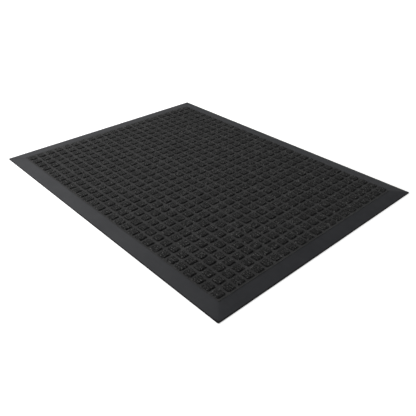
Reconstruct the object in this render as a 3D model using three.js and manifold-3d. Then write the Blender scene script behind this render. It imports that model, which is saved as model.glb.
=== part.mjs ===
// A door mat: a flat rubber backing sheet, four bevelled rubber border strips mitred round its edge, and in the
// well between them a woven carrier cloth and a needled carpet face pressed into rows of raised squares.
// Millimetres, +Z up. X runs along the mat's length, Y across it, and the origin is the middle of the underside.
import * as THREE from "three";
import { mergeVertices } from "three/addons/utils/BufferGeometryUtils.js";
import Module from "manifold-3d";

const wasm = await Module();
wasm.setup();

// Overall sizes
const matLength = 1150;
const matWidth = 889;
const cornerRadius = 4;

// Rubber backing sheet, which runs under the whole mat
const backingThickness = 1.5;

// Rubber border strips, which rise from a thin outer edge to the level of the carpet's channels
const borderWidth = 47;
const stripEdgeThickness = 0.5;

// Carrier cloth and carpet face
const clothThickness = 0.6;
const feltThickness = 5.4;
const squareSize = 30;
const squareTaper = 1.5;
const squareHeight = 4.5;
const squareSpacing = 36.1;
const leastMargin = 2;

// Clearances
const wellGap = 0.3;
const mitreGap = 0.3;

const cornerSegments = 5;

// Heights that follow from the layers
const clothBottom = backingThickness;
const feltBottom = clothBottom + clothThickness;
const stripInnerThickness = clothThickness + feltThickness;

// The carpet fills the well between the strips
const carpetLength = matLength - 2 * (borderWidth + wellGap);
const carpetWidth = matWidth - 2 * (borderWidth + wellGap);

const rubber = { color: 0x2b2c2f, roughness: 0.62, metalness: 0 };
const cloth = { color: 0x1d1d1f, roughness: 0.95, metalness: 0 };
const carpet = { color: 0x222324, roughness: 1, metalness: 0 };

const mat = new THREE.Group();

function addMesh(name, geometry, finish, height) {
  const mesh = new THREE.Mesh(geometry, new THREE.MeshStandardMaterial(finish));
  mesh.name = name;
  mesh.position.z = height;
  mat.add(mesh);
  return mesh;
}

// A plate with round corners, standing on its own z = 0.
function roundedPlate(length, width, radius, thickness) {
  const x = length / 2;
  const y = width / 2;
  const outline = new THREE.Shape();
  outline.moveTo(x, y - radius);
  outline.absarc(x - radius, y - radius, radius, 0, Math.PI / 2);
  outline.absarc(radius - x, y - radius, radius, Math.PI / 2, Math.PI);
  outline.absarc(radius - x, radius - y, radius, Math.PI, 1.5 * Math.PI);
  outline.absarc(x - radius, radius - y, radius, 1.5 * Math.PI, 2 * Math.PI);
  return new THREE.ExtrudeGeometry(outline, {
    depth: thickness,
    bevelEnabled: false,
    curveSegments: cornerSegments,
  });
}

function plainPlate(length, width, thickness) {
  return new THREE.BoxGeometry(length, width, thickness).translate(0, 0, thickness / 2);
}

function solidOf(geometry) {
  const bare = geometry.clone();
  bare.deleteAttribute("normal");
  bare.deleteAttribute("uv");
  const merged = mergeVertices(bare, 1e-4);
  return new wasm.Manifold(
    new wasm.Mesh({
      numProp: 3,
      vertProperties: merged.attributes.position.array,
      triVerts: new Uint32Array(merged.index.array),
    }),
  );
}

function geometryOf(solid) {
  const mesh = solid.getMesh();
  const geometry = new THREE.BufferGeometry();
  geometry.setAttribute("position", new THREE.BufferAttribute(mesh.vertProperties, 3));
  geometry.setIndex(new THREE.BufferAttribute(mesh.triVerts, 1));
  geometry.computeVertexNormals();
  return geometry;
}

// Backing sheet
addMesh("rubber_backing_sheet", roundedPlate(matLength, matWidth, cornerRadius, backingThickness), rubber, 0);

// Border strips. Each has the same wedge section, is cut at 45 degrees at both ends, and shares the mat's corners.
const outerOutline = solidOf(roundedPlate(matLength, matWidth, cornerRadius, stripInnerThickness));

// A strip along an edge of the given length, with its outer edge on y = -halfAcross.
function borderStrip(edgeLength, halfAcross) {
  const section = new THREE.Shape();
  section.moveTo(0, 0);
  section.lineTo(borderWidth, 0);
  section.lineTo(borderWidth, stripInnerThickness);
  section.lineTo(0, stripEdgeThickness);
  section.closePath();
  const bar = new THREE.ExtrudeGeometry(section, { depth: edgeLength, bevelEnabled: false });
  // Section x becomes +Y, section y becomes +Z, and the run becomes +X.
  bar.applyMatrix4(new THREE.Matrix4().makeBasis(
    new THREE.Vector3(0, 1, 0),
    new THREE.Vector3(0, 0, 1),
    new THREE.Vector3(1, 0, 0),
  ));
  bar.translate(-edgeLength / 2, -halfAcross, 0);

  // Seen from above, the mitres leave a trapezium whose slanted ends stand half the gap off the corner's diagonal.
  const endSetback = mitreGap / Math.SQRT2;
  const outerHalf = edgeLength / 2 - endSetback;
  const innerHalf = outerHalf - borderWidth;
  const mitred = new THREE.Shape();
  mitred.moveTo(-outerHalf, -halfAcross);
  mitred.lineTo(outerHalf, -halfAcross);
  mitred.lineTo(innerHalf, borderWidth - halfAcross);
  mitred.lineTo(-innerHalf, borderWidth - halfAcross);
  mitred.closePath();
  const cutter = new THREE.ExtrudeGeometry(mitred, { depth: stripInnerThickness, bevelEnabled: false });
  return solidOf(bar).intersect(solidOf(cutter));
}

function addStrip(name, edgeLength, halfAcross, turn) {
  const strip = borderStrip(edgeLength, halfAcross).rotate([0, 0, turn]).intersect(outerOutline);
  addMesh(name, geometryOf(strip), rubber, backingThickness);
}

addStrip("border_strip_front", matLength, matWidth / 2, 0);
addStrip("border_strip_right", matWidth, matLength / 2, 90);
addStrip("border_strip_back", matLength, matWidth / 2, 180);
addStrip("border_strip_left", matWidth, matLength / 2, 270);

// Carrier cloth
addMesh("carrier_cloth", plainPlate(carpetLength, carpetWidth, clothThickness), cloth, clothBottom);

// Carpet face: one felt pressed into squares at a fixed spacing, with what is left over as a plain margin all round.
function squaresAlong(field) {
  const count = Math.floor((field - squareSize - 2 * leastMargin) / squareSpacing) + 1;
  return Array.from({ length: count }, (_, i) => (i - (count - 1) / 2) * squareSpacing);
}

// A square's foot, as low and high corner on one axis, and its narrower top.
const foot = squareSize / 2;
const crown = squareSize / 2 - squareTaper;

// The grid lines on one axis: the carpet's edges and both sides of each square.
function gridLines(centres, field) {
  return [-field / 2, ...centres.flatMap((c) => [c - foot, c + foot]), field / 2];
}

function carpetFace() {
  const xs = gridLines(squaresAlong(carpetLength), carpetLength);
  const ys = gridLines(squaresAlong(carpetWidth), carpetWidth);
  const points = [];
  const faces = [];
  const addQuad = (a, b, c, d) => faces.push(a, b, c, a, c, d);

  // The felt's upper grid comes first, so that its points are numbered by column and row.
  const at = (i, j) => i * ys.length + j;
  for (const x of xs) {
    for (const y of ys) {
      points.push(x, y, feltThickness);
    }
  }
  const lastX = xs.length - 1;
  const lastY = ys.length - 1;
  for (let i = 0; i < lastX; i++) {
    for (let j = 0; j < lastY; j++) {
      const isSquare = i % 2 === 1 && j % 2 === 1;
      const base = [at(i, j), at(i + 1, j), at(i + 1, j + 1), at(i, j + 1)];
      if (!isSquare) {
        addQuad(...base);
        continue;
      }
      const cx = (xs[i] + xs[i + 1]) / 2;
      const cy = (ys[j] + ys[j + 1]) / 2;
      const first = points.length / 3;
      for (const [sx, sy] of [[-1, -1], [1, -1], [1, 1], [-1, 1]]) {
        points.push(cx + sx * crown, cy + sy * crown, feltThickness + squareHeight);
      }
      const top = [first, first + 1, first + 2, first + 3];
      addQuad(...top);
      for (let k = 0; k < 4; k++) {
        const next = (k + 1) % 4;
        addQuad(base[k], base[next], top[next], top[k]);
      }
    }
  }

  // The sides fan down from the upper grid to four lower corners, and the underside is one rectangle.
  const low = points.length / 3;
  for (const [i, j] of [[0, 0], [lastX, 0], [lastX, lastY], [0, lastY]]) {
    points.push(xs[i], ys[j], 0);
  }
  const walls = [
    { rim: xs.map((_, i) => at(i, 0)), from: low, to: low + 1 },
    { rim: ys.map((_, j) => at(lastX, j)), from: low + 1, to: low + 2 },
    { rim: xs.map((_, i) => at(lastX - i, lastY)), from: low + 2, to: low + 3 },
    { rim: ys.map((_, j) => at(0, lastY - j)), from: low + 3, to: low },
  ];
  for (const { rim, from, to } of walls) {
    for (let k = 0; k + 1 < rim.length; k++) {
      faces.push(from, rim[k + 1], rim[k]);
    }
    faces.push(from, to, rim[rim.length - 1]);
  }
  addQuad(low, low + 3, low + 2, low + 1);

  const geometry = new THREE.BufferGeometry();
  geometry.setAttribute("position", new THREE.Float32BufferAttribute(points, 3));
  geometry.setIndex(faces);
  geometry.computeVertexNormals();
  return geometry;
}

addMesh("carpet_face", carpetFace(), carpet, feltBottom);

export default mat;
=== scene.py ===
import math

import bpy
import numpy as np
from mathutils import Matrix, Vector


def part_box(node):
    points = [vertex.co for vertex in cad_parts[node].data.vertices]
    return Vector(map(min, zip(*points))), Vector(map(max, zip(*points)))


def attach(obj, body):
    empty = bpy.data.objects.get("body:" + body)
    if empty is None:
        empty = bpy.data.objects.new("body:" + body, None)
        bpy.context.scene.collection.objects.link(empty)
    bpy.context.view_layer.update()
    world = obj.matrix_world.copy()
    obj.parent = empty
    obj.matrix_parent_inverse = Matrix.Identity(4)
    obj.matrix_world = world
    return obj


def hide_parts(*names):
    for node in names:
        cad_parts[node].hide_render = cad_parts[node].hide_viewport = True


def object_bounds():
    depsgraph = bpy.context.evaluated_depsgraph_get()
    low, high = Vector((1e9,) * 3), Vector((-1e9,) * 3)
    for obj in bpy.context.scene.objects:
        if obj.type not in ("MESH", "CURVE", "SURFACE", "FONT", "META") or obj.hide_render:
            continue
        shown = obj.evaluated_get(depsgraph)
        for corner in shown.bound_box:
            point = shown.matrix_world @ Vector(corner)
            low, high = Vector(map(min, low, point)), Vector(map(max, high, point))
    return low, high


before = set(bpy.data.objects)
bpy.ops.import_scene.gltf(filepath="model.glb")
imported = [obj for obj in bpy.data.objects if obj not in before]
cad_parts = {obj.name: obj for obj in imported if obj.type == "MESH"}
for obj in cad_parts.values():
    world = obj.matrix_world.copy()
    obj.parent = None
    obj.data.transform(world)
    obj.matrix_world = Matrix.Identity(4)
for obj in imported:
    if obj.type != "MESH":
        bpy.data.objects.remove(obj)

# The looks of a door mat: needled carpet in raised squares inside a bevelled rubber border. All in metres.
MM = 0.001
SEED = 20
TIP = "tip"

cad_low, cad_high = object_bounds()
MAT_LENGTH = cad_high.x - cad_low.x
MAT_WIDTH = cad_high.y - cad_low.y

backing_low, backing_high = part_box("rubber_backing_sheet")
strip_low, strip_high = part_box("border_strip_front")
cloth_low, cloth_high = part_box("carrier_cloth")
felt_low, felt_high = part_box("carpet_face")

BACKING_TOP = backing_high.z
STRIP_TOP = strip_high.z
BORDER_WIDTH = strip_high.y - strip_low.y
FELT_BOTTOM = felt_low.z
CHANNEL_FLOOR = strip_high.z
SQUARE_TOP = felt_high.z


# ---------------------------------------------------------------- grid of squares, read from the CAD carpet

def grid_lines(axis, height):
    """The places along one axis where the CAD carpet has a corner at a height, in order."""
    corners = [v.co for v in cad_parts["carpet_face"].data.vertices if abs(v.co.z - height) < 0.1 * MM]
    return sorted({round(co[axis], 5) for co in corners})


def squares_along(axis):
    """The squares' centres on one axis."""
    tops = grid_lines(axis, SQUARE_TOP)
    return np.array([(a + b) / 2 for a, b in zip(tops[::2], tops[1::2])])


COLUMNS = squares_along(0)
ROWS = squares_along(1)
# Half a square's width, where it meets the floor of the channels.
FOOT = COLUMNS[0] - grid_lines(0, CHANNEL_FLOOR)[1]


# ---------------------------------------------------------------- small tools

def lattice_noise(points, scale, seed):
    """Smooth value noise from -1 to 1 at points (n, 3), with features of about the given size."""
    p = points / scale
    cell = np.floor(p).astype(np.int64)
    t = p - cell
    t = t * t * (3 - 2 * t)
    total = np.zeros(len(points))
    for corner in range(8):
        offset = np.array([corner & 1, corner >> 1 & 1, corner >> 2 & 1])
        key = (cell + offset) @ np.array([374761393, 668265263, 2147483647]) + seed * 1274126177
        key = (key ^ (key >> 13)) * 1103515245 & 0x7FFFFFFF
        value = ((key ^ (key >> 16)) & 0xFFFF) / 32767.5 - 1
        total += value * np.prod(np.where(offset, t, 1 - t), axis=1)
    return total


def mesh_object(name, points, faces, smooth=True):
    """A mesh from points (n, 3) and faces, given as a list of loops or as an array of quads."""
    mesh = bpy.data.meshes.new(name)
    mesh.from_pydata(np.asarray(points), [], faces)
    mesh.update()
    mesh.polygons.foreach_set("use_smooth", np.full(len(mesh.polygons), smooth))
    piece = bpy.data.objects.new(name, mesh)
    bpy.context.scene.collection.objects.link(piece)
    return piece


def grid_faces(columns, rows, first=0):
    """Quads over a grid of points numbered row by row, facing up when columns run +X and rows run +Y."""
    faces = []
    for j in range(rows - 1):
        for i in range(columns - 1):
            a = first + j * columns + i
            faces.append((a, a + 1, a + 1 + columns, a + columns))
    return faces


def slab(columns, rows):
    """Faces of a closed slab: a grid of points on top, and the same grid again underneath it."""
    below = columns * rows
    faces = grid_faces(columns, rows)
    faces += [tuple(reversed(face)) for face in grid_faces(columns, rows, below)]
    rim = list(range(columns))
    rim += [j * columns + columns - 1 for j in range(1, rows)]
    rim += [(rows - 1) * columns + i for i in range(columns - 2, -1, -1)]
    rim += [j * columns for j in range(rows - 2, 0, -1)]
    for a, b in zip(rim, rim[1:] + rim[:1]):
        faces.append((a, a + below, b + below, b))
    return faces


def mark_tips(piece, tips):
    """Stores how far up its loop each point of the carpet is, from 0 to 1, which the fibre's colour uses for
    painted shade low between the loops.
    """
    layer = piece.data.attributes.new(TIP, "FLOAT", "POINT")
    layer.data.foreach_set("value", np.asarray(tips, dtype=np.float32))


def add_piece(piece, material, slot, *nodes):
    piece.data.materials.append(material)
    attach(piece, "root")
    if nodes:
        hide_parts(*nodes)
    return piece


# ---------------------------------------------------------------- materials

class Nodes:
    """A short way to write a material's node tree."""

    def __init__(self, name, **values):
        self.material = bpy.data.materials.new(name)
        self.material.use_nodes = True
        self.tree = self.material.node_tree
        self.shader = self.tree.nodes["Principled BSDF"]
        for socket, value in values.items():
            self.shader.inputs[socket.replace("_", " ")].default_value = value
        self.place = self.add("ShaderNodeTexCoord").outputs["Object"]

    def add(self, kind, inputs=None, **settings):
        node = self.tree.nodes.new(kind)
        for key, value in settings.items():
            setattr(node, key, value)
        for key, value in (inputs or {}).items():
            self.put(node.inputs[key], value)
        return node

    def put(self, socket, value):
        if isinstance(value, bpy.types.NodeSocket):
            self.tree.links.new(value, socket)
        else:
            socket.default_value = value

    def noise(self, scale, detail=2.0, roughness=0.5, place=None):
        inputs = {"Vector": place or self.place, "Scale": scale, "Detail": detail, "Roughness": roughness}
        return self.add("ShaderNodeTexNoise", inputs).outputs["Fac"]

    def stretched(self, x, y, z):
        return self.add("ShaderNodeMapping", {"Vector": self.place, "Scale": (x, y, z)}).outputs["Vector"]

    def ramp(self, value, low, high, to_low=0.0, to_high=1.0):
        inputs = {"Value": value, "From Min": low, "From Max": high, "To Min": to_low, "To Max": to_high}
        return self.add("ShaderNodeMapRange", inputs).outputs["Result"]

    def math(self, operation, a, b):
        return self.add("ShaderNodeMath", {0: a, 1: b}, operation=operation).outputs["Value"]

    def blend(self, factor, a, b):
        node = self.add("ShaderNodeMix", data_type="RGBA")
        self.put(node.inputs["Factor"], factor)
        self.put(node.inputs["A"], a)
        self.put(node.inputs["B"], b)
        return node.outputs["Result"]

    def colour(self, value):
        self.put(self.shader.inputs["Base Color"], value)

    def roughness(self, value):
        self.put(self.shader.inputs["Roughness"], value)

    def bump(self, height, distance, strength=1.0):
        inputs = {"Height": height, "Distance": distance, "Strength": strength}
        self.put(self.shader.inputs["Normal"], self.add("ShaderNodeBump", inputs).outputs["Normal"])


STRIP_EDGE_THICKNESS = 0.5 * MM
STRIP_EDGE_TOP = BACKING_TOP + STRIP_EDGE_THICKNESS
# The lip's painted shade holds up to the first of these above its edge, and has faded out by the second.
LIP_DARK = 0.12 * MM
LIP_FADE = 0.55 * MM


def border_rubber():
    """Smooth moulded rubber, with a fine grain, faint cloudy bloom and scuffs."""
    n = Nodes("border_rubber", Specular_IOR_Level=0.34)
    cloud = n.noise(9, 3)
    grain = n.noise(900, 2)
    scuff = n.ramp(n.noise(60, 4, place=n.stretched(1, 3, 1)), 0.55, 0.75)
    mottle = n.math("ADD", n.math("MULTIPLY", cloud, 0.5), n.math("MULTIPLY", n.noise(38, 3), 0.5))
    base = n.blend(n.ramp(mottle, 0.38, 0.62), (0.0203, 0.0213, 0.0248, 1), (0.0263, 0.0273, 0.0310, 1))
    top = n.blend(n.math("MULTIPLY", scuff, 0.4), base, (0.030, 0.031, 0.034, 1))
    # The outer lip gets painted shade: a near-black colour for the shade on its upright face. It is also
    # duller than the top.
    height = n.add("ShaderNodeSeparateXYZ", {"Vector": n.place}).outputs["Z"]
    above_lip_shade = n.ramp(height, STRIP_EDGE_TOP + LIP_DARK, STRIP_EDGE_TOP + LIP_FADE)
    n.colour(n.blend(above_lip_shade, (0.0020, 0.0021, 0.0025, 1), top))
    blunt = n.ramp(n.math("ADD", cloud, n.math("MULTIPLY", grain, 0.4)), 0.5, 0.9, 0.60, 0.70)
    n.roughness(n.math("MAXIMUM", blunt, n.ramp(above_lip_shade, 0.0, 1.0, 0.95, 0.0)))
    n.bump(grain, 0.00012, 0.6)
    return n.material


def backing_rubber():
    """Matt rubber, pressed against a cloth so that it carries a fine pebbled grain."""
    n = Nodes("backing_rubber", Specular_IOR_Level=0.25)
    pebble = n.noise(650, 2)
    cloud = n.noise(6, 3)
    # The near-black colour is partly the rubber's own and partly painted shade, which darkens the upright
    # outer edge of the mat.
    n.colour(n.blend(n.ramp(cloud, 0.35, 0.65), (0.004, 0.004, 0.0045, 1), (0.007, 0.007, 0.0075, 1)))
    n.roughness(n.ramp(pebble, 0.3, 0.7, 0.78, 0.90))
    n.bump(pebble, 0.0002, 0.8)
    return n.material


def carpet_fibre(name, dark, light, fleck, fleck_weight, pit_shade, sheen):
    """Needled fibre: tangled strands with lighter flecks among charcoal ones, with painted shade down between
    the loops and in the gaps between strands.
    pit_shade is how much colour that painted shade leaves in the gaps between strands."""
    n = Nodes(name, Sheen_Weight=sheen, Sheen_Roughness=0.4, Specular_IOR_Level=0.3, Roughness=0.85)
    strand = n.noise(1500, 3, 0.6, n.stretched(0.35, 1, 1))
    tuft = n.noise(380, 3, 0.6)
    patch = n.noise(28, 2)
    shade = n.math("ADD", n.math("MULTIPLY", tuft, 0.6), n.math("MULTIPLY", strand, 0.4))
    base = n.blend(n.ramp(shade, 0.38, 0.62), dark, light)
    knots = n.noise(270, 1, 0.4, n.stretched(0.8, 1, 1))
    base = n.blend(n.math("MULTIPLY", n.ramp(knots, 0.56, 0.68), fleck_weight), base, fleck)
    # Painted shade: the colour darkens in the gaps between strands, down to pit_shade.
    pits = n.ramp(knots, 0.32, 0.50, pit_shade, 1.0)
    # Random patches of lighter and darker tone, multiplied onto the painted shade of the gaps.
    pit_shade_and_patches = n.math("MULTIPLY", pits, n.ramp(patch, 0.3, 0.7, 0.82, 1.18))
    tip = n.add("ShaderNodeAttribute", attribute_name=TIP).outputs["Fac"]
    # Painted shade down between the loops: the colour darkens towards the bottom of each loop and is lifted
    # at the tips.
    shaded = n.math("MULTIPLY", pit_shade_and_patches, n.ramp(tip, 0.08, 0.75, 0.10, 1.25))
    tone = n.add("ShaderNodeVectorMath", {0: base, "Scale": shaded}, operation="SCALE").outputs["Vector"]
    n.colour(tone)
    n.bump(n.math("ADD", tuft, n.math("MULTIPLY", strand, 0.5)), 0.0007, 0.9)
    return n.material


def woven_cloth():
    n = Nodes("carrier_cloth", Roughness=0.9)
    warp = n.add("ShaderNodeTexWave", {"Vector": n.place, "Scale": 350.0}, bands_direction="X").outputs["Fac"]
    weft = n.add("ShaderNodeTexWave", {"Vector": n.place, "Scale": 350.0}, bands_direction="Y").outputs["Fac"]
    weave = n.math("MAXIMUM", warp, weft)
    n.colour(n.blend(weave, (0.02, 0.02, 0.02, 1), (0.05, 0.05, 0.05, 1)))
    n.bump(weave, 0.0003)
    return n.material


# ---------------------------------------------------------------- rubber border

LIP_ROUNDING = 0.4 * MM
SHOULDER_ROUNDING = 1.2 * MM
RIDGE_BLEND = 9 * MM
CORNER_RADIUS = 4 * MM
MITRE_SLIT = 0.05 * MM
STEP_ALONG = 12 * MM
LIP_STEPS = 4
FACE_STEPS = 16
SHOULDER_STEPS = 5
CORNER_STEPS = 4
WAVE_LENGTH = 60 * MM
WAVE_HEIGHT = 0.10 * MM
WAVE_FADE = 6 * MM
SLOPE = (STRIP_TOP - STRIP_EDGE_TOP) / BORDER_WIDTH


def smooth_least(a, b, reach):
    """The lesser of a and b, rounded where they are closer than reach."""
    near = np.clip(0.5 + 0.5 * (b - a) / reach, 0, 1)
    return b + (a - b) * near - reach * near * (1 - near)


def strip_section():
    """The strip's section as (inset from the outer edge, height), from outer foot over to inner foot."""
    section = [(0.0, BACKING_TOP), (0.0, STRIP_EDGE_TOP - LIP_ROUNDING)]
    for k in range(1, LIP_STEPS):
        a = k / LIP_STEPS * math.pi / 2
        section.append((LIP_ROUNDING * (1 - math.cos(a)), STRIP_EDGE_TOP - LIP_ROUNDING * (1 - math.sin(a))))
    run = BORDER_WIDTH - LIP_ROUNDING - SHOULDER_ROUNDING
    for k in range(FACE_STEPS + 1):
        inset = LIP_ROUNDING + run * k / FACE_STEPS
        section.append((inset, STRIP_EDGE_TOP + SLOPE * inset))
    for k in range(1, SHOULDER_STEPS + 1):
        a = k / SHOULDER_STEPS * math.pi / 2
        inset = BORDER_WIDTH - SHOULDER_ROUNDING * (1 - math.sin(a))
        section.append((inset, STRIP_TOP - SHOULDER_ROUNDING * (1 - math.cos(a))))
    section.append((BORDER_WIDTH, BACKING_TOP))
    return section


def rail(half_length, half_across, inset):
    """Plan points of one strip at an inset, from the mitre at its left end to the mitre at its right end."""
    slit = MITRE_SLIT / math.sqrt(2)
    radius = max(CORNER_RADIUS - inset, 0)
    straight = half_length - inset - radius
    y = inset - half_across
    points = []
    for k in range(CORNER_STEPS + 1):
        a = math.pi / 4 * (1 - k / CORNER_STEPS)
        points.append((-straight - radius * math.sin(a) + slit, y + radius * (1 - math.cos(a))))
    count = max(int(2 * half_length / STEP_ALONG), 2)
    for k in range(1, count):
        points.append(((-1 + 2 * k / count) * (straight - slit), y))
    for k in range(CORNER_STEPS + 1):
        a = math.pi / 4 * k / CORNER_STEPS
        points.append((straight + radius * math.sin(a) - slit, y + radius * (1 - math.cos(a))))
    return points


def border_strip(name, half_length, half_across, turn, material):
    """A bevelled strip along y = -half_across, turned about Z into its place."""
    section = strip_section()
    rails = [rail(half_length, half_across, inset) for inset, _ in section]
    columns = len(rails[0])
    points = []
    for (inset, height), path in zip(section, rails):
        for x, y in path:
            points.append((x, y, height))
    points = np.array(points)
    # Near a corner the slope eases from one side's to the other's, so the ridge over the mitre is soft.
    to_side = points[:, 1] + half_across
    to_end = half_length - np.abs(points[:, 0])
    eased = smooth_least(to_side, to_end, RIDGE_BLEND)
    on_top = points[:, 2] > STRIP_EDGE_TOP - 1e-6
    points[:, 2] += np.where(on_top, SLOPE * (eased - np.minimum(to_side, to_end)), 0)
    # Moulded rubber is never quite flat.
    wave = lattice_noise(points * [1, 1, 0], WAVE_LENGTH, SEED) * WAVE_HEIGHT
    fade = np.clip(to_side / WAVE_FADE, 0, 1) * np.clip((BORDER_WIDTH - to_side) / WAVE_FADE, 0, 1)
    points[:, 2] += np.where(on_top, wave * fade, 0)
    rows = len(section)
    faces = grid_faces(columns, rows)
    # The underside, and the two mitred ends.
    last = (rows - 1) * columns
    for i in range(columns - 1):
        faces.append((i, last + i, last + i + 1, i + 1))
    faces.append([j * columns for j in range(rows)])
    faces.append([j * columns + columns - 1 for j in reversed(range(rows))])
    rotation = np.array(Matrix.Rotation(turn, 3, "Z"))
    piece = mesh_object(name, points @ rotation.T, faces)
    return add_piece(piece, material, "border_rubber")


# ---------------------------------------------------------------- carpet

PILE_CELLS = 30
EDGE_ROUNDING = 4.0 * MM
EDGE_DROP = 2.0 * MM
PLAN_ROUNDING = 5.0 * MM
LOOP_LENGTH = 5.6 * MM
LOOP_WIDTH = 6.6 * MM
LOOP_HEIGHT = 2.3 * MM
# The squares' smooth top is this much lower than the CAD's, which leaves room for the loops.
LOOP_ROOM = 0.85 * LOOP_HEIGHT
# The loops grow to their full height over this much of a square's side.
RELIEF_RISE = 2 * MM
# How far a square's sides go down into the felt, stand inside the CAD's, and lean in towards the crown.
SINK = 0.5 * MM
SIDE_INSET = 0.2 * MM
SIDE_LEAN = 0.8 * MM
# Above 1, this draws the pile's mesh lines together towards the edges.
EDGE_CROWDING = 1.15
FUZZ_HEIGHT = 0.25 * MM
FUZZ_SIZE = 1.8 * MM
ROUGHNESS_REACH = 0.9 * MM
ROUGHNESS_SIZE = 3.2 * MM

# The felt between the squares. It lies a little under the CAD's channels, and falls away at its outer edge.
CHANNEL_CELL = 1.6 * MM
UNDER_SQUARE = 1 * MM
FELT_BUMP_SIZE = 3 * MM
FELT_BUMP_HEIGHT = 0.18 * MM
FELT_DIP = 0.2 * MM
FELT_EDGE_DROP = 0.5 * MM
FELT_EDGE_REACH = 1.0 * MM
# Through the tip attribute the felt's colour follows its bumps: painted shade in the dips, a painted lift on
# the rises.
FELT_TIP = 0.6
FELT_TIP_SPREAD = 0.2
CLOTH_COLUMNS = 60
CLOTH_ROWS = 46


def rounded_square(x, y, half, radius):
    """Moves points of a square of the given half size into the same square with rounded corners."""
    core = half - radius
    dx = x - np.clip(x, -core, core)
    dy = y - np.clip(y, -core, core)
    length = np.hypot(dx, dy)
    longest = np.maximum(np.abs(dx), np.abs(dy))
    shrink = longest / np.maximum(length, 1e-12)
    return x - dx * (1 - shrink), y - dy * (1 - shrink)


def pile_template():
    """One square as points (s, t, drop) and quads: a top grid, and rings down its sides to below the felt.
    s and t run from -1 to 1 over the crown. drop is 0 on the top, and grows to 1 at the foot."""
    n = PILE_CELLS
    line = np.linspace(-1, 1, n + 1)
    # Lines crowd towards the edges, where the pile rounds over.
    line = np.sign(line) * (1 - (1 - np.abs(line)) ** EDGE_CROWDING)
    points = [(s, t, 0.0) for t in line for s in line]
    faces = grid_faces(n + 1, n + 1)
    rim = list(range(n))
    rim += [j * (n + 1) + n for j in range(n)]
    rim += [n * (n + 1) + i for i in range(n, 0, -1)]
    rim += [j * (n + 1) for j in range(n, 0, -1)]
    ring = rim
    for drop in (0.25, 0.5, 0.75, 1.0):
        first = len(points)
        points += [(points[k][0], points[k][1], drop) for k in rim]
        new = list(range(first, first + len(rim)))
        for k in range(len(rim)):
            m = (k + 1) % len(rim)
            faces.append((ring[k], new[k], new[m], ring[m]))
        ring = new
    return np.array(points), faces, ring


def loops_of_pile(points):
    """Height from 0 to 1 of the looped fibres: rows of loops along X, each row out of step with the next."""
    sway = lattice_noise(points * [1, 1, 0], 8 * MM, SEED + 3) * 0.25
    v = points[:, 1] / LOOP_WIDTH + sway
    row = np.floor(v)
    u = points[:, 0] / LOOP_LENGTH + row * 0.5 + lattice_noise(points * [1, 1, 0], 6 * MM, SEED + 4) * 0.35
    loop = np.floor(u)
    key = (loop * 73856093 + row * 19349663).astype(np.int64) & 0x7FFFFFFF
    tall = ((key ^ (key >> 7)) * 2654435761 >> 8 & 0xFF) / 255
    across = np.sin(np.pi * (v - row)) ** 0.8
    along = np.sin(np.pi * (u - loop)) ** 0.6
    return across * (0.45 + 0.55 * along) * (0.55 + 0.45 * tall)


def pile_squares(centres, rng):
    """Points and faces of raised squares at the given centres (n, 2)."""
    template, faces, ring = pile_template()
    s, t, drop = (part[None, :] for part in template.T)
    count = len(centres)

    def vary(low, high):
        return rng.uniform(low, high, (count, 1))

    half = FOOT - SIDE_INSET + vary(-0.25, 0.25) * MM
    crown = half - SIDE_LEAN
    size = crown + (half - crown) * drop
    x, y = rounded_square(s * size, t * size, size, PLAN_ROUNDING)
    turn = np.radians(vary(-0.8, 0.8))
    px = x * np.cos(turn) - y * np.sin(turn) + centres[:, :1] + vary(-0.2, 0.2) * MM
    py = x * np.sin(turn) + y * np.cos(turn) + centres[:, 1:] + vary(-0.2, 0.2) * MM
    # Distance in from the crown's rounded edge sets how far the top has rounded over.
    core = crown - PLAN_ROUNDING
    from_core = np.hypot(np.maximum(np.abs(x) - core, 0), np.maximum(np.abs(y) - core, 0))
    inset = np.clip((PLAN_ROUNDING - from_core) / EDGE_ROUNDING, 0, 1)
    rounding = 1 - np.sqrt(np.clip(1 - (1 - inset) ** 2, 0, 1))
    top = SQUARE_TOP - LOOP_ROOM + vary(-0.35, 0.1) * MM
    shoulder = top - EDGE_DROP
    floor = CHANNEL_FLOOR - SINK
    z = np.where(drop > 0, shoulder + (floor - shoulder) * drop, top - EDGE_DROP * rounding)
    points = np.stack([px, py, z], 2).reshape(-1, 3)
    height = np.clip((points[:, 2] - CHANNEL_FLOOR) / RELIEF_RISE, 0, 1)
    tips = loops_of_pile(points)
    relief = LOOP_HEIGHT * tips
    relief += FUZZ_HEIGHT * lattice_noise(points, FUZZ_SIZE, SEED + 1)
    rough_x = ROUGHNESS_REACH * lattice_noise(points, ROUGHNESS_SIZE, SEED + 5)
    rough_y = ROUGHNESS_REACH * lattice_noise(points, ROUGHNESS_SIZE, SEED + 6)
    points += np.stack([rough_x, rough_y, relief], 1) * height[:, None]
    all_faces = []
    for index in range(count):
        first = index * len(template)
        all_faces += [tuple(v + first for v in face) for face in faces]
        all_faces.append(tuple(v + first for v in reversed(ring)))
    return points, all_faces, tips


def felt_lines(centres, low, high):
    """Grid lines for the felt on one axis: fine across each channel, coarse under each square."""
    edges = [low] + [c + side * (FOOT - UNDER_SQUARE) for c in centres for side in (-1, 1)] + [high]
    lines = []
    for index, (a, b) in enumerate(zip(edges, edges[1:])):
        under_square = index % 2 == 1
        cells = 2 if under_square else max(2, round((b - a) / CHANNEL_CELL))
        lines += list(np.linspace(a, b, cells + 1)[:-1])
    return np.array(lines + [high])


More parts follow.
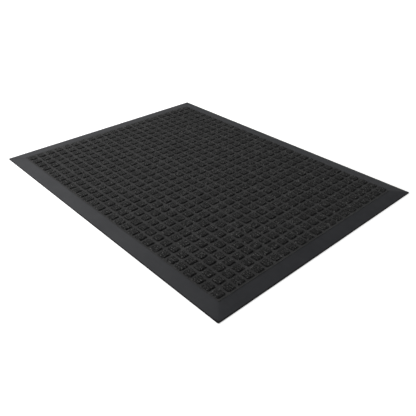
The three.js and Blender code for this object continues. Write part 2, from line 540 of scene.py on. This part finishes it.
def felt_web(material):
    """The felt that the squares stand on, whose top is the floor of the channels."""
    xs = felt_lines(COLUMNS, felt_low.x, felt_high.x)
    ys = felt_lines(ROWS, felt_low.y, felt_high.y)
    grid = np.array([(x, y, CHANNEL_FLOOR) for y in ys for x in xs])
    inside = np.minimum.reduce([grid[:, 0] - felt_low.x, felt_high.x - grid[:, 0],
                                grid[:, 1] - felt_low.y, felt_high.y - grid[:, 1]])
    bumps = lattice_noise(grid, FELT_BUMP_SIZE, SEED + 7)
    grid[:, 2] += FELT_BUMP_HEIGHT * bumps - FELT_DIP
    grid[:, 2] -= FELT_EDGE_DROP * np.clip(1 - inside / FELT_EDGE_REACH, 0, 1)
    under = grid.copy()
    under[:, 2] = FELT_BOTTOM
    piece = mesh_object("carpet_felt", np.concatenate([grid, under]), slab(len(xs), len(ys)))
    mark_tips(piece, np.concatenate([FELT_TIP + FELT_TIP_SPREAD * bumps, np.full(len(under), FELT_TIP)]))
    return add_piece(piece, material, "carpet_fibre", "carpet_face")


def carrier_cloth(material):
    """The flat woven cloth between the felt and the rubber."""
    xs = np.linspace(cloth_low.x, cloth_high.x, CLOTH_COLUMNS)
    ys = np.linspace(cloth_low.y, cloth_high.y, CLOTH_ROWS)
    top = np.array([(x, y, cloth_high.z) for y in ys for x in xs])
    low = top - [0, 0, cloth_high.z - cloth_low.z]
    piece = mesh_object("carrier_cloth_weave", np.concatenate([top, low]), slab(len(xs), len(ys)))
    return add_piece(piece, material, "carrier_cloth", "carrier_cloth")


# ---------------------------------------------------------------- build

rubber = border_rubber()
half_l, half_w = MAT_LENGTH / 2, MAT_WIDTH / 2
for side, along, across, quarter in (("front", half_l, half_w, 0), ("right", half_w, half_l, 1),
                                     ("back", half_l, half_w, 2), ("left", half_w, half_l, 3)):
    strip = border_strip(f"rubber_border_{side}", along, across, quarter * math.pi / 2, rubber)
    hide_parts(f"border_strip_{side}")

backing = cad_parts["rubber_backing_sheet"]
backing.data.materials.clear()
backing.data.materials.append(backing_rubber())

# The channel felt's lighter colour is painted sheen, standing in for the shine of the pressed-flat fibre on
# the channel floors.
felt_material = carpet_fibre(
    "channel_felt", dark=(0.0290, 0.0290, 0.0290, 1), light=(0.0465, 0.0465, 0.0465, 1),
    fleck=(0.075, 0.075, 0.075, 1), fleck_weight=0.20, pit_shade=0.75, sheen=0.08)
pile_material = carpet_fibre(
    "pile", dark=(0.0040, 0.0040, 0.0040, 1), light=(0.0235, 0.0235, 0.0235, 1),
    fleck=(0.165, 0.165, 0.161, 1), fleck_weight=0.60, pit_shade=0.22, sheen=0.06)
felt = felt_web(felt_material)
rng = np.random.default_rng(SEED)
for number, y in enumerate(ROWS, start=1):
    points, faces, tips = pile_squares(np.stack([COLUMNS, np.full(len(COLUMNS), y)], 1), rng)
    row = mesh_object(f"carpet_pile_row_{number:02d}", points, faces)
    mark_tips(row, tips)
    add_piece(row, pile_material, "carpet_fibre")
cloth = carrier_cloth(woven_cloth())


# ---------------------------------------------------------------- floor, light and camera

# The studio's light by the sine of the height above the horizon.
WALL_TOP = 0.24
CEILING_EDGE = 0.42
WALL_LIGHT = 1.0
CEILING_LIGHT = 0.13
FLOOR_REACH = 14.0
FLOOR_GAP = 0.05 * MM


def pale_floor():
    reach, z = FLOOR_REACH, cad_low.z - FLOOR_GAP
    points = [(-reach, -reach, z), (reach, -reach, z), (reach, reach, z), (-reach, reach, z)]
    floor = mesh_object("floor", points, [(0, 1, 2, 3)], smooth=False)
    n = Nodes("pale_floor", Roughness=0.9, Specular_IOR_Level=0.2)
    n.colour(n.blend(n.noise(0.7), (0.94, 0.94, 0.94, 1), (0.96, 0.96, 0.96, 1)))
    n.shader.inputs["Emission Color"].default_value = (1, 1, 1, 1)
    # The key light fades with distance, so the floor's own light rises to keep it one even white.
    distance = n.add("ShaderNodeVectorMath", {0: n.place}, operation="LENGTH").outputs["Value"]
    n.put(n.shader.inputs["Emission Strength"], n.ramp(distance, 0.9, 4.0, 0.46, 0.90))
    floor.data.materials.append(n.material)


def aim(thing, target):
    thing.rotation_mode = "QUATERNION"
    thing.rotation_quaternion = (Vector(target) - thing.location).to_track_quat("-Z", "Y")


def area_light(name, azimuth, elevation, distance, size, power):
    """A soft box aimed at the mat's middle. Azimuth is from +X towards +Y, in degrees."""
    light = bpy.data.lights.new(name, "AREA")
    light.shape = "RECTANGLE"
    light.size, light.size_y = size
    light.energy = power
    thing = bpy.data.objects.new(name, light)
    a, e = math.radians(azimuth), math.radians(elevation)
    thing.location = Vector((math.cos(a) * math.cos(e), math.sin(a) * math.cos(e), math.sin(e))) * distance
    bpy.context.scene.collection.objects.link(thing)
    aim(thing, (0, 0, 0))


def camera():
    """The camera stands off the front right corner, and looks at a point a little short of the middle."""
    azimuth, elevation, roll = math.radians(47.33), math.radians(32.51), math.radians(0.13)
    distance = 1.579
    target = Vector((0.1872, -0.1205, 0))
    back = Vector((math.sin(azimuth) * math.cos(elevation), -math.cos(azimuth) * math.cos(elevation),
                   math.sin(elevation)))
    data = bpy.data.cameras.new("camera")
    data.lens = 42.68
    data.sensor_width = 36
    thing = bpy.data.objects.new("camera", data)
    thing.location = target + back * distance
    bpy.context.scene.collection.objects.link(thing)
    aim(thing, target)
    thing.rotation_quaternion = thing.rotation_quaternion @ Matrix.Rotation(roll, 3, "Z").to_quaternion()
    bpy.context.scene.camera = thing


def surroundings():
    # A white wall goes round the horizon, under a dimmer ceiling that leaves the key light its shadows.
    world = bpy.data.worlds.new("studio")
    world.use_nodes = True
    nodes, links = world.node_tree.nodes, world.node_tree.links
    direction = nodes.new("ShaderNodeTexCoord")
    height = nodes.new("ShaderNodeSeparateXYZ")
    brightness = nodes.new("ShaderNodeMapRange")
    brightness.inputs["From Min"].default_value = WALL_TOP
    brightness.inputs["From Max"].default_value = CEILING_EDGE
    brightness.inputs["To Min"].default_value = WALL_LIGHT
    brightness.inputs["To Max"].default_value = CEILING_LIGHT
    links.new(direction.outputs["Generated"], height.inputs["Vector"])
    links.new(height.outputs["Z"], brightness.inputs["Value"])
    nodes["Background"].inputs["Color"].default_value = (1, 1, 1, 1)
    links.new(brightness.outputs["Result"], nodes["Background"].inputs["Strength"])
    bpy.context.scene.world = world
    area_light("key", 203, 49, 3.4, (1.6, 1.2), 90)


pale_floor()
camera()
surroundings()
bpy.context.scene.view_settings.view_transform = "Standard"
